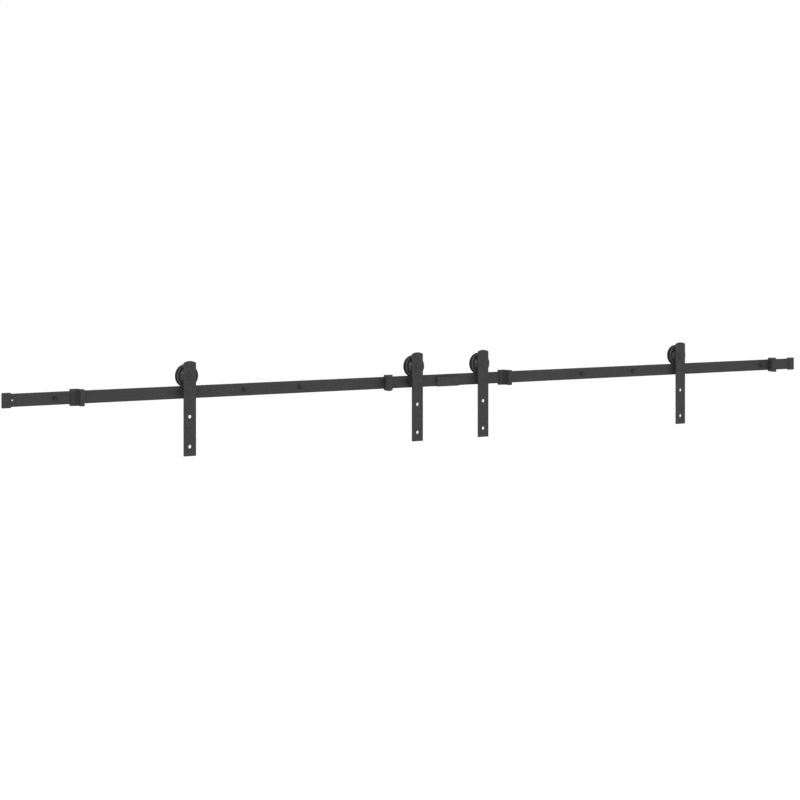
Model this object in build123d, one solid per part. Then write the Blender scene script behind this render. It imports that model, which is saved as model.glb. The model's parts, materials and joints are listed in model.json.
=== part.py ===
from build123d import *
import os
from math import cos, pi, sin, sqrt

# Barn door track: two flat bars end to end on wall spacers, four roller hangers and four stops.
# Millimetres. X runs along the track, -Y points into the room, +Z is up.
# The origin is on the wall face, at the joint of the two bars, level with the wall bolts.

# Driving dimensions: track
RAIL_LENGTH = 1524.0
RAIL_HEIGHT = 38.1
RAIL_THICK = 6.35
RAIL_EDGE = 0.8
SPACER_LENGTH = 31.75
SPACER_RADIUS = 11.0
WALL_HOLE_RADIUS = 3.6
WALL_BOLT_LENGTH = 78.0
WALL_BOLT_RADIUS = 3.2
WALL_THREAD_RADIUS = 2.9
WALL_BOLT_POINT = 6.0
WALL_HEAD_AF = 11.1
WALL_HEAD_HEIGHT = 4.4
WALL_HEAD_EDGE = 0.7
WALL_BOLT_STATIONS = (156.0, 552.0, 775.0, 972.0, 1368.0)
END_HOLE_OFFSET = 26.0
END_HOLE_RADIUS = 2.75
JOINT_PLATE_LENGTH = 86.0
JOINT_PLATE_THICK = 7.6
JOINT_PLATE_TOP_GAP = 8.6
JOINT_PLATE_DROP = 1.0
JOINT_PLATE_CORNER = 3.0
JOINT_PLATE_EDGE = 0.8
TAPPED_DEPTH = 5.6
JOINT_HEAD_RADIUS = 4.6
JOINT_HEAD_HEIGHT = 2.8
JOINT_HEAD_EDGE = 1.0
JOINT_SOCKET_AF = 3.0
JOINT_SOCKET_DEPTH = 1.7
WASHER_RADIUS = 5.5
WASHER_THICK = 1.2
SPACER_EDGE = 0.6

# Driving dimensions: end caps
CAP_COVER = 22.5
CAP_END = 5.0
CAP_WALL = 3.0
CAP_FIT = 0.1
CAP_ROUND = 2.2
CAP_BEVEL = 3.2
CAP_LIP = 0.9

# Driving dimensions: stops
STOP_HEIGHT = 49.6
STOP_SLEEVE_LENGTH = 25.0
STOP_SLEEVE_WALL = 4.5
STOP_FIT = 0.25
STOP_LEG_THICK = 5.0
STOP_REACH = 29.5
STOP_ROUND = 1.2
PAD_THICK = 7.5
PAD_START = 9.0
PAD_ROUND = 2.5
PAD_STUD_RADIUS = 4.0
SET_SCREW_RADIUS = 3.0
SET_SCREW_LENGTH = 5.6
SET_SCREW_SPREAD = 7.0
SET_SCREW_SOCKET_AF = 3.0
SET_SCREW_SOCKET_DEPTH = 3.0
STOP_PADS = (("stop_1", -1286.5, 1), ("stop_2", -245.0, -1), ("stop_3", 240.5, 1), ("stop_4", 1404.5, -1))

# Driving dimensions: hangers and wheels
HANGER_STATIONS = (-942.7, -127.8, 129.6, 972.9)
AXLE_HEIGHT = 30.0
STRAP_WIDTH = 40.0
STRAP_THICK = 6.0
STRAP_LENGTH = 286.0
STRAP_OVER_AXLE = 45.8
STRAP_CROWN_RADIUS = 42.0
STRAP_OFFSET = 15.5
STRAP_EDGE = 0.6
DOOR_HOLE_RADIUS = 5.5
DOOR_HOLE_SPACING = 90.0
DOOR_HOLE_END = 28.5
WHEEL_RADIUS = 35.4
WHEEL_THICK = 19.0
WHEEL_BEVEL = 1.8
GROOVE_GAP = 0.2
GROOVE_SIDE_GAP = 0.3
GROOVE_FLARE = 2.2
WHEEL_RECESS_OUTER = 30.2
WHEEL_RECESS_INNER = 22.5
WHEEL_RECESS_DEPTH = 4.2
WHEEL_RECESS_TAPER = 0.8
HUB_FOOT = 0.8
HUB_TOP_RADIUS = 14.5
HUB_BORE = 11.0
HUB_PROUD = 1.5
BOLT_RADIUS = 5.0
BOLT_HEAD_RADIUS = 10.0
BOLT_HEAD_HEIGHT = 4.8
BOLT_HEAD_RIM = 0.8
BOLT_END = 2.0
BEARING_RADIUS = 13.0
BEARING_WIDTH = 8.0
BEARING_RING = 2.2
BALL_RADIUS = 1.75
BALL_COUNT = 10
CAGE_WALL = 1.4
CAGE_LENGTH = 4.8
COLLAR_RADIUS = 8.0
BACK_COLLAR_RADIUS = 7.4
BACK_COLLAR_END = 1.0
NUT_AF = 16.0
NUT_HEIGHT = 9.0
NUT_EDGE = 0.9
NYLON_HEIGHT = 2.4
NYLON_RADIUS = 7.4
CIRCLIP_THICK = 1.0
CIRCLIP_WIDTH = 1.6
CIRCLIP_GAP = 5.0

# Worked-out planes and levels
RAIL_TOP = RAIL_HEIGHT / 2
RAIL_BACK = -SPACER_LENGTH
RAIL_FRONT = RAIL_BACK - RAIL_THICK
RAIL_MID = (RAIL_BACK + RAIL_FRONT) / 2
AXLE_Z = RAIL_TOP + AXLE_HEIGHT
STRAP_BACK = RAIL_FRONT - STRAP_OFFSET
STRAP_FRONT = STRAP_BACK - STRAP_THICK
STRAP_TOP = AXLE_Z + STRAP_OVER_AXLE
STRAP_BOTTOM = STRAP_TOP - STRAP_LENGTH
WHEEL_BACK = RAIL_MID + WHEEL_THICK / 2
BEARING_FRONT = RAIL_MID - BEARING_WIDTH / 2
BEARING_BACK = RAIL_MID + BEARING_WIDTH / 2
NUT_FRONT = WHEEL_BACK + BACK_COLLAR_END


def box_between(low, high):
    size = [b - a for a, b in zip(low, high)]
    centre = [(a + b) / 2 for a, b in zip(low, high)]
    return Pos(*centre) * Box(*size)


def rod(radius, x, z, y_from, y_to):
    """Cylinder along Y."""
    middle = (y_from + y_to) / 2
    return Pos(x, middle, z) * Rot(X=90) * Cylinder(radius, abs(y_to - y_from))


def tube(outer, inner, x, z, y_from, y_to):
    return rod(outer, x, z, y_from, y_to) - rod(inner, x, z, y_from - 1, y_to + 1)


def turned(profile):
    """Solid of revolution about Y through the origin, from (radius, y) points."""
    outline = Polyline(*[(radius, y) for radius, y in profile], close=True)
    return revolve(make_face(outline), axis=Axis.Y)


def hex_prism(across_flats, x, z, y_from, y_to):
    side = across_flats / sqrt(3)
    prism = extrude(RegularPolygon(side, 6), amount=abs(y_to - y_from))
    return Pos(x, max(y_from, y_to), z) * Rot(X=90) * prism


def hexagon_block(across_flats, edge, x, z, y_from, y_to):
    """Hexagon along Y whose corners are turned down at both ends."""
    length = y_to - y_from
    limit = chamfer(Cylinder(across_flats / sqrt(3), length).edges().filter_by(GeomType.CIRCLE), edge)
    limit = Pos(x, (y_from + y_to) / 2, z) * Rot(X=90) * limit
    return hex_prism(across_flats, x, z, y_from, y_to) & limit


def save(node, shape):
    shape.label = node
    export_step(shape, f"parts/{node}.step")


# Track pieces

def rail(left_end):
    """One flat bar with its wall-bolt holes and a hole near each end."""
    bar = box_between((left_end, RAIL_FRONT, -RAIL_TOP), (left_end + RAIL_LENGTH, RAIL_BACK, RAIL_TOP))
    bar = chamfer(bar.edges().filter_by(Axis.X), RAIL_EDGE)
    for station in WALL_BOLT_STATIONS:
        bar -= rod(WALL_HOLE_RADIUS, left_end + station, 0, RAIL_FRONT - 1, RAIL_BACK + 1)
    for station in (END_HOLE_OFFSET, RAIL_LENGTH - END_HOLE_OFFSET):
        bar -= rod(END_HOLE_RADIUS, left_end + station, 0, RAIL_FRONT - 1, RAIL_BACK + 1)
    return bar


def wall_spacers(left_end):
    """Tube spacers between the wall and one bar, with chamfered rims."""
    spacers = []
    for station in WALL_BOLT_STATIONS:
        spacer = tube(SPACER_RADIUS, WALL_HOLE_RADIUS, left_end + station, 0, RAIL_BACK, 0)
        rims = spacer.edges().filter_by(GeomType.CIRCLE).filter_by(lambda e: e.radius > SPACER_RADIUS - 0.1)
        spacers.append(chamfer(rims, SPACER_EDGE))
    return Compound(spacers)


def wall_bolts(left_end):
    """Hexagon-head screws that hold one bar and its spacers to the wall."""
    tip = RAIL_FRONT + WALL_BOLT_LENGTH
    shank = turned([(0, RAIL_FRONT), (WALL_BOLT_RADIUS, RAIL_FRONT), (WALL_BOLT_RADIUS, 0),
                    (WALL_THREAD_RADIUS, 0), (WALL_THREAD_RADIUS, tip - WALL_BOLT_POINT), (0, tip)])
    head = hexagon_block(WALL_HEAD_AF, WALL_HEAD_EDGE, 0, 0, RAIL_FRONT - WALL_HEAD_HEIGHT, RAIL_FRONT)
    bolt = head + shank
    return Compound([Pos(left_end + station, 0, 0) * bolt for station in WALL_BOLT_STATIONS])


def joint_plate():
    """Lap plate; its top edge stays low enough for the wheel flanges to pass."""
    half = JOINT_PLATE_LENGTH / 2
    low = -RAIL_TOP - JOINT_PLATE_DROP
    high = RAIL_TOP - JOINT_PLATE_TOP_GAP
    plate = box_between((-half, RAIL_FRONT - JOINT_PLATE_THICK, low), (half, RAIL_FRONT, high))
    plate = fillet(plate.edges().filter_by(Axis.Y), JOINT_PLATE_CORNER)
    plate = chamfer(plate.faces().sort_by(Axis.Y)[0].edges(), JOINT_PLATE_EDGE)
    for x in (-END_HOLE_OFFSET, END_HOLE_OFFSET):
        plate -= rod(END_HOLE_RADIUS, x, 0, RAIL_FRONT - TAPPED_DEPTH, RAIL_FRONT + 1)
    return plate


def joint_screws():
    """Button-head screws from behind the bars into the tapped holes of the plate."""
    screws = []
    seat = RAIL_BACK + WASHER_THICK
    for x in (-END_HOLE_OFFSET, END_HOLE_OFFSET):
        head = Cylinder(JOINT_HEAD_RADIUS, JOINT_HEAD_HEIGHT)
        head = chamfer(head.edges().group_by(Axis.Z)[0], JOINT_HEAD_EDGE)
        head = Pos(x, seat + JOINT_HEAD_HEIGHT / 2, 0) * Rot(X=90) * head
        screw = head + rod(END_HOLE_RADIUS, x, 0, RAIL_FRONT - TAPPED_DEPTH, seat)
        end = seat + JOINT_HEAD_HEIGHT
        screws.append(screw - hex_prism(JOINT_SOCKET_AF, x, 0, end - JOINT_SOCKET_DEPTH, end + 1))
    return Compound(screws)


def joint_washers():
    washers = []
    for x in (-END_HOLE_OFFSET, END_HOLE_OFFSET):
        washers.append(tube(WASHER_RADIUS, END_HOLE_RADIUS, x, 0, RAIL_BACK, RAIL_BACK + WASHER_THICK))
    return Compound(washers)


def end_cap(side):
    """Sleeve cap, closed at the outer end and bevelled at its mouth."""
    outer_end = side * (RAIL_LENGTH + CAP_END)
    mouth = side * (RAIL_LENGTH - CAP_COVER)
    low_x = min(outer_end, mouth)
    high_x = max(outer_end, mouth)
    cap = box_between((low_x, RAIL_FRONT - CAP_WALL, -RAIL_TOP - CAP_WALL),
                      (high_x, RAIL_BACK + CAP_WALL, RAIL_TOP + CAP_WALL))
    cap = fillet(cap.edges().filter_by(Axis.X), CAP_ROUND)
    ends = cap.faces().sort_by(Axis.X)
    mouth_face = ends[0] if side > 0 else ends[-1]
    cap = chamfer(mouth_face.edges(), CAP_WALL - CAP_LIP, CAP_BEVEL, reference=mouth_face)
    ends = cap.faces().sort_by(Axis.X)
    closed_face = ends[-1] if side > 0 else ends[0]
    cap = fillet(closed_face.edges(), CAP_ROUND)
    socket = box_between((-RAIL_LENGTH, RAIL_FRONT - CAP_FIT, -RAIL_TOP - CAP_FIT),
                         (RAIL_LENGTH, RAIL_BACK + CAP_FIT, RAIL_TOP + CAP_FIT))
    return cap - socket


# Stops: "facing" is +1 where the pad is on the right of the sleeve and -1 where it is on the left.

def stop_span(pad_face, facing, start, end):
    """X limits of a slice of the stop, measured back from the pad's striking face."""
    ends = (pad_face - facing * start, pad_face - facing * end)
    return min(ends), max(ends)


def stop_bracket(pad_face, facing):
    """Sleeve round the bar, with a leg that stands out in front of it."""
    half = STOP_HEIGHT / 2
    low_x, high_x = stop_span(pad_face, facing, PAD_THICK, PAD_THICK + STOP_SLEEVE_LENGTH)
    sleeve = box_between((low_x, RAIL_FRONT - STOP_SLEEVE_WALL, -half),
                         (high_x, RAIL_BACK + STOP_SLEEVE_WALL, half))
    leg_low, leg_high = stop_span(pad_face, facing, PAD_THICK, PAD_THICK + STOP_LEG_THICK)
    leg = box_between((leg_low, RAIL_FRONT - STOP_REACH, -half), (leg_high, RAIL_FRONT, half))
    body = sleeve + leg
    body = fillet(body.edges().filter_by(Axis.Z), STOP_ROUND)
    slot = box_between((low_x - 1, RAIL_FRONT - STOP_FIT, -RAIL_TOP - STOP_FIT),
                       (high_x + 1, RAIL_BACK + STOP_FIT, RAIL_TOP + STOP_FIT))
    body -= slot
    for x in set_screw_stations(pad_face, facing):
        body -= Pos(x, RAIL_MID, -half) * Cylinder(SET_SCREW_RADIUS, RAIL_TOP)
    return body - pad_stud(pad_face, facing)


def set_screw_stations(pad_face, facing):
    centre = pad_face - facing * (PAD_THICK + STOP_SLEEVE_LENGTH / 2)
    return centre - SET_SCREW_SPREAD, centre + SET_SCREW_SPREAD


def pad_stud(pad_face, facing):
    """Moulded stud that holds the pad in the leg."""
    low_x, high_x = stop_span(pad_face, facing, PAD_THICK - 1, PAD_THICK + STOP_LEG_THICK)
    middle_y = RAIL_FRONT - (PAD_START + STOP_REACH) / 2
    stud = Rot(Y=90) * Cylinder(PAD_STUD_RADIUS, high_x - low_x)
    return Pos((low_x + high_x) / 2, middle_y, 0) * stud


def stop_pad(pad_face, facing):
    """Rubber buffer on the leg, with rounded striking edges."""
    half = STOP_HEIGHT / 2
    low_x, high_x = stop_span(pad_face, facing, 0, PAD_THICK)
    pad = box_between((low_x, RAIL_FRONT - STOP_REACH, -half), (high_x, RAIL_FRONT - PAD_START, half))
    striking = pad.faces().sort_by(Axis.X)[-1 if facing > 0 else 0]
    pad = fillet(striking.edges(), PAD_ROUND)
    return pad + pad_stud(pad_face, facing)


def stop_set_screws():
    screws = []
    for _, pad_face, facing in STOP_PADS:
        for x in set_screw_stations(pad_face, facing):
            low = -RAIL_TOP - SET_SCREW_LENGTH
            middle = low + SET_SCREW_LENGTH / 2
            screw = Pos(x, RAIL_MID, middle) * Cylinder(SET_SCREW_RADIUS, SET_SCREW_LENGTH)
            hexagon = RegularPolygon(SET_SCREW_SOCKET_AF / sqrt(3), 6)
            socket = extrude(hexagon, amount=SET_SCREW_SOCKET_DEPTH)
            screws.append(screw - Pos(x, RAIL_MID, low) * socket)
    return Compound(screws)


# Hanger pieces, at axle station x

def strap(x):
    """Flat strap with a crowned top end."""
    half = STRAP_WIDTH / 2
    shoulder = STRAP_TOP - STRAP_CROWN_RADIUS + sqrt(STRAP_CROWN_RADIUS ** 2 - half ** 2)
    sides = Polyline((-half, shoulder), (-half, STRAP_BOTTOM), (half, STRAP_BOTTOM), (half, shoulder))
    crown = ThreePointArc((half, shoulder), (0, STRAP_TOP), (-half, shoulder))
    outline = make_face([sides, crown])
    plate = extrude(outline, amount=STRAP_THICK)
    plate = chamfer(plate.edges().group_by(Axis.Z)[0] + plate.edges().group_by(Axis.Z)[-1], STRAP_EDGE)
    plate = Pos(x, STRAP_BACK, 0) * Rot(X=90) * plate
    lower = STRAP_BOTTOM + DOOR_HOLE_END
    for z in (lower, lower + DOOR_HOLE_SPACING):
        plate -= rod(DOOR_HOLE_RADIUS, x, z, STRAP_FRONT - 1, STRAP_BACK + 1)
    return plate - bolt_neck(x)


def bolt_neck(x):
    """Square neck that keeps the bolt from turning in the strap."""
    return box_between((x - BOLT_RADIUS, STRAP_FRONT, AXLE_Z - BOLT_RADIUS),
                       (x + BOLT_RADIUS, STRAP_BACK, AXLE_Z + BOLT_RADIUS))


def axle_bolt(x):
    """Domed carriage bolt from the strap's front face to just past the lock nut."""
    shank = rod(BOLT_RADIUS, x, AXLE_Z, STRAP_BACK, NUT_FRONT + NUT_HEIGHT + BOLT_END)
    rise = BOLT_HEAD_HEIGHT - BOLT_HEAD_RIM
    dome_radius = (BOLT_HEAD_RADIUS ** 2 + rise ** 2) / (2 * rise)
    ball = Pos(0, 0, BOLT_HEAD_HEIGHT - dome_radius) * Sphere(dome_radius)
    head = ball & Pos(0, 0, BOLT_HEAD_HEIGHT / 2) * Cylinder(BOLT_HEAD_RADIUS, BOLT_HEAD_HEIGHT)
    head = Pos(x, STRAP_FRONT, AXLE_Z) * Rot(X=90) * head
    return head + bolt_neck(x) + shank


def axle_collars(x):
    front = tube(COLLAR_RADIUS, BOLT_RADIUS, x, AXLE_Z, STRAP_BACK, BEARING_FRONT)
    back = tube(BACK_COLLAR_RADIUS, BOLT_RADIUS, x, AXLE_Z, BEARING_BACK, NUT_FRONT)
    return Compound([front, back])


def bearing_inner(x):
    return tube(BOLT_RADIUS + BEARING_RING, BOLT_RADIUS, x, AXLE_Z, BEARING_FRONT, BEARING_BACK)


def axle_nut(x):
    """Hexagon lock nut with a round nylon collar."""
    hexagon_end = NUT_FRONT + NUT_HEIGHT - NYLON_HEIGHT
    hexagon = hexagon_block(NUT_AF, NUT_EDGE, x, AXLE_Z, NUT_FRONT, hexagon_end)
    collar = rod(NYLON_RADIUS, x, AXLE_Z, hexagon_end, NUT_FRONT + NUT_HEIGHT)
    return hexagon + collar - rod(BOLT_RADIUS, x, AXLE_Z, NUT_FRONT - 1, NUT_FRONT + NUT_HEIGHT + 1)


# Wheel pieces, at axle station x

def wheel(x):
    """Grooved wheel with a ring-shaped recess, a raised hub and a bearing pocket open to the back."""
    half = WHEEL_THICK / 2
    root = AXLE_HEIGHT - GROOVE_GAP
    groove_half = RAIL_THICK / 2 + GROOVE_SIDE_GAP
    web = half - WHEEL_RECESS_DEPTH
    front = [
        (HUB_TOP_RADIUS, half + HUB_PROUD), (WHEEL_RECESS_INNER, web + HUB_FOOT), (WHEEL_RECESS_INNER, web),
        (WHEEL_RECESS_OUTER, web), (WHEEL_RECESS_OUTER + WHEEL_RECESS_TAPER, half),
        (WHEEL_RADIUS - WHEEL_BEVEL, half), (WHEEL_RADIUS, half - WHEEL_BEVEL),
        (WHEEL_RADIUS, groove_half + GROOVE_FLARE), (root, groove_half),
    ]
    back = [(HUB_TOP_RADIUS, half)] + front[1:]
    profile = [(HUB_BORE, -half - HUB_PROUD)]
    profile += [(radius, -y) for radius, y in front]
    profile += back[::-1]
    seat_floor = -BEARING_WIDTH / 2
    profile += [(BEARING_RADIUS, half), (BEARING_RADIUS, seat_floor), (HUB_BORE, seat_floor)]
    return Pos(x, RAIL_MID, AXLE_Z) * turned(profile)


def bearing_outer(x):
    return tube(BEARING_RADIUS, BEARING_RADIUS - BEARING_RING, x, AXLE_Z, BEARING_FRONT, BEARING_BACK)


def ball_cage(x):
    """Ten balls joined by their cage, with running clearance to both rings."""
    pitch = (BEARING_RADIUS + BOLT_RADIUS) / 2
    cage = tube(pitch + CAGE_WALL / 2, pitch - CAGE_WALL / 2, x, AXLE_Z,
                RAIL_MID - CAGE_LENGTH / 2, RAIL_MID + CAGE_LENGTH / 2)
    for step in range(BALL_COUNT):
        angle = 2 * pi * step / BALL_COUNT
        cage += Pos(x + pitch * cos(angle), RAIL_MID, AXLE_Z + pitch * sin(angle)) * Sphere(BALL_RADIUS)
    return cage


def circlip(x):
    """Internal retaining ring, open at the bottom."""
    ring = tube(BEARING_RADIUS, BEARING_RADIUS - CIRCLIP_WIDTH, x, AXLE_Z,
                BEARING_BACK, BEARING_BACK + CIRCLIP_THICK)
    gap = box_between((x - CIRCLIP_GAP / 2, BEARING_BACK - 1, AXLE_Z - BEARING_RADIUS - 1),
                      (x + CIRCLIP_GAP / 2, BEARING_BACK + CIRCLIP_THICK + 1, AXLE_Z))
    return ring - gap


os.makedirs("parts", exist_ok=True)

save("rail_left", rail(-RAIL_LENGTH))
save("rail_right", rail(0))
save("wall_spacers_left", wall_spacers(-RAIL_LENGTH))
save("wall_spacers_right", wall_spacers(0))
save("wall_bolts_left", wall_bolts(-RAIL_LENGTH))
save("wall_bolts_right", wall_bolts(0))
save("joint_plate", joint_plate())
save("joint_screws", joint_screws())
save("joint_washers", joint_washers())
save("end_cap_left", end_cap(-1))
save("end_cap_right", end_cap(1))
save("stop_set_screws", stop_set_screws())

for name, pad_face, facing in STOP_PADS:
    save(f"{name}_bracket", stop_bracket(pad_face, facing))
    save(f"{name}_pad", stop_pad(pad_face, facing))

HANGER_PIECES = (strap, axle_bolt, axle_collars, bearing_inner, axle_nut)
WHEEL_PIECES = (wheel, bearing_outer, ball_cage, circlip)

for number, station in enumerate(HANGER_STATIONS, start=1):
    for piece in HANGER_PIECES + WHEEL_PIECES:
        save(f"{piece.__name__}_{number}", piece(station))
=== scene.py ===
import json
from math import atan2, cos, degrees, hypot, pi, radians, sin, sqrt

import bmesh
import bpy
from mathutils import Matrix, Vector


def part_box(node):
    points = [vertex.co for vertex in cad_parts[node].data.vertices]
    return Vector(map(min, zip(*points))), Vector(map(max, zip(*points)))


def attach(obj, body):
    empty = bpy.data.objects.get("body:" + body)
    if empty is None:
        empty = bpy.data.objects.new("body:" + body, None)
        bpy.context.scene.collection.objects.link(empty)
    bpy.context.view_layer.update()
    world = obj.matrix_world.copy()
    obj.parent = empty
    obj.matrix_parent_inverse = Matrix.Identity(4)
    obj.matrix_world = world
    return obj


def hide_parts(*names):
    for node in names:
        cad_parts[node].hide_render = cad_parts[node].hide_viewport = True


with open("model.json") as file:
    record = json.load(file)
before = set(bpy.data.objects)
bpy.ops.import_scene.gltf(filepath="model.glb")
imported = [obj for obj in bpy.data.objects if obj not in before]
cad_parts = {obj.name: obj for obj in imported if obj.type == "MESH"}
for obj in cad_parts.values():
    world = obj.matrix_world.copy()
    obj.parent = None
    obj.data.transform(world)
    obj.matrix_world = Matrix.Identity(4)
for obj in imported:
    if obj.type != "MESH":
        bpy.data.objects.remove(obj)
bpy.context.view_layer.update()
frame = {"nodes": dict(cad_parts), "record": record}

MM = 0.001
ROUND_STEPS = 4              # segments in a small rounded edge
RINGS_PER_TURN = 8           # rings along one turn of a thread
SHARPEST_MITRE = 0.2         # squared length of a mitre, below which a corner is cut short
RIM_WEAR = 0.6               # wear of a flat face's rim; a rounded edge has 1

# Segments round a turned piece. Pieces with a hexagon need a multiple of six.
WHEEL_STEPS, FINE, HEXAGON_STEPS, MEDIUM, SMALL = 144, 96, 72, 64, 48


# ---------------------------------------------------------------- mesh tools

def finish_piece(name, bm, body, slot, material, replaces=(), smooth_angle=32):
    """Turns a bmesh into a piece that rides on a CAD body."""
    bmesh.ops.remove_doubles(bm, verts=bm.verts, dist=1e-7)
    bmesh.ops.recalc_face_normals(bm, faces=bm.faces)
    mesh = bpy.data.meshes.new(name)
    bm.to_mesh(mesh)
    bm.free()
    mesh.materials.append(material)
    piece = bpy.data.objects.new(name, mesh)
    bpy.context.scene.collection.objects.link(piece)
    for face in mesh.polygons:
        face.use_smooth = True
    mark_sharp(mesh, smooth_angle)
    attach(piece, body)
    for node in replaces:
        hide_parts(node)


def mark_sharp(mesh, angle):
    """Marks edges sharper than the angle, so that flat faces shade flat."""
    bm = bmesh.new()
    bm.from_mesh(mesh)
    for edge in bm.edges:
        if len(edge.link_faces) == 2 and edge.calc_face_angle(0.0) > radians(angle):
            edge.smooth = False
    bm.to_mesh(mesh)
    bm.free()


def edge_layer(bm):
    """Vertex value that is 1 on rounded edges, where the coat wears thin; on a wheel it marks the
    tread, which takes painted shade.
    """
    return bm.verts.layers.float.get("edge") or bm.verts.layers.float.new("edge")


def add_ring(bm, points, worn=0.0):
    layer = edge_layer(bm)
    ring = [bm.verts.new(point) for point in points]
    for vertex in ring:
        vertex[layer] = worn
    return ring


def yz_ring(bm, x, loop, worn):
    """Ring of vertices at x, from a loop of (y, z) points."""
    return add_ring(bm, [(x, y, z) for y, z in loop], worn)


def bridge(bm, first, second):
    count = len(first)
    for i in range(count):
        j = (i + 1) % count
        bm.faces.new((first[i], first[j], second[j], second[i]))


def skin(bm, rings):
    """Side faces over a row of rings."""
    for one, two in zip(rings, rings[1:]):
        bridge(bm, one, two)


def capped_skin(bm, rings):
    """Side faces over a row of rings, closed flat at both ends."""
    skin(bm, rings)
    cap_rings(bm, [rings[0]])
    cap_rings(bm, [rings[-1]])


def cap_rings(bm, rings):
    """Fills the flat area bounded by one outer ring and any hole rings."""
    edges = []
    for ring in rings:
        for i, vertex in enumerate(ring):
            other = ring[(i + 1) % len(ring)]
            edge = bm.edges.get((vertex, other)) or bm.edges.new((vertex, other))
            edges.append(edge)
    bmesh.ops.triangle_fill(bm, edges=edges, use_beauty=True, use_dissolve=False)


def fan(bm, ring, centre):
    """Closes a convex ring to a point."""
    middle = bm.verts.new(centre)
    for i, vertex in enumerate(ring):
        bm.faces.new((vertex, ring[(i + 1) % len(ring)], middle))


def offset_loop(loop, distance):
    """Moves each corner of an anticlockwise 2-D loop inwards by a distance."""
    moved = []
    count = len(loop)
    for i, (x, y) in enumerate(loop):
        before = Vector(loop[i - 1])
        here = Vector((x, y))
        after = Vector(loop[(i + 1) % count])
        one = (here - before).normalized()
        two = (after - here).normalized()
        normal_one = Vector((-one.y, one.x))
        normal_two = Vector((-two.y, two.x))
        mitre = normal_one + normal_two
        size = mitre.length_squared
        scale = 2 / size if size > SHARPEST_MITRE else 2
        moved.append(tuple(here + mitre * scale * distance))
    return moved


def circle(cx, cy, radius, count=48):
    turns = [2 * pi * i / count for i in range(count)]
    return [(cx + radius * cos(turn), cy + radius * sin(turn)) for turn in turns]


def arc_points(cx, cy, radius, start, end, count):
    """Points of an arc, angles in degrees, both ends included."""
    step = radians(end - start) / count
    turns = [radians(start) + step * i for i in range(count + 1)]
    return [(cx + radius * cos(turn), cy + radius * sin(turn)) for turn in turns]


def rounded_rectangle(x0, y0, x1, y1, radius, count=6):
    corners = ((x1 - radius, y0 + radius, -90), (x1 - radius, y1 - radius, 0),
               (x0 + radius, y1 - radius, 90), (x0 + radius, y0 + radius, 180))
    loop = []
    for cx, cy, start in corners:
        loop += arc_points(cx, cy, radius, start, start + 90, count)
    return loop


def yz_section(low, high, inset, radius, count):
    """Rounded cross-section in YZ of a box, drawn in by an inset."""
    return rounded_rectangle(low.y + inset, low.z + inset, high.y - inset, high.z - inset,
                             radius, count)


def rounded_steps(radius, steps=ROUND_STEPS):
    """(inset, depth) pairs from the flat face to the side wall of a rounded edge."""
    turns = [pi / 2 * i / steps for i in range(steps + 1)]
    return [(radius * (1 - sin(turn)), radius * (1 - cos(turn))) for turn in turns]


class Plate:
    """A flat piece with rounded edges: an outline with holes, as thick as asked.

    edge is the rounding along both rims of the outline. place(u, v, w) gives the 3-D
    point; w is the distance from the first face."""

    def __init__(self, outline, thickness, edge, place):
        self.bm = bmesh.new()
        self.thickness, self.place = thickness, place
        self.first, self.last = [], []
        self.wall(outline, rounded_steps(edge), 1)

    def wall(self, loop, steps, inward):
        """Side wall of the outline (inward 1) or of a hole (inward -1)."""
        levels = [(inset, depth, depth) for inset, depth in steps]
        levels += [(inset, depth, self.thickness - depth) for inset, depth in reversed(steps)]
        rings = []
        for inset, depth, w in levels:
            points = [self.place(u, v, w) for u, v in offset_loop(loop, inset * inward)]
            rings.append(add_ring(self.bm, points, 1.0 if depth > 0 else RIM_WEAR))
        skin(self.bm, rings)
        self.first.append(rings[0])
        self.last.append(rings[-1])

    def hole(self, loop, edge):
        self.wall(loop, rounded_steps(edge, 2), -1)

    def finish(self, name, *args, **kwargs):
        cap_rings(self.bm, self.first)
        cap_rings(self.bm, self.last)
        finish_piece(name, self.bm, *args, **kwargs)


def xz_place(face_y):
    """Plate lying in XZ: its first face is at face_y and its thickness runs to the wall."""
    return lambda u, v, w: (u, face_y + w, v)


def yz_place(face_x, outward):
    """Plate lying in YZ: its first face is at face_x and its thickness runs outward."""
    return lambda u, v, w: (face_x + outward * w, u, v)


def hex_limit(radius, across, angle):
    """Radius of a hexagon's side at an angle, no larger than the given radius."""
    turned = (angle % (pi / 3)) - pi / 6
    return min(radius, across / 2 / cos(turned))


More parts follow.
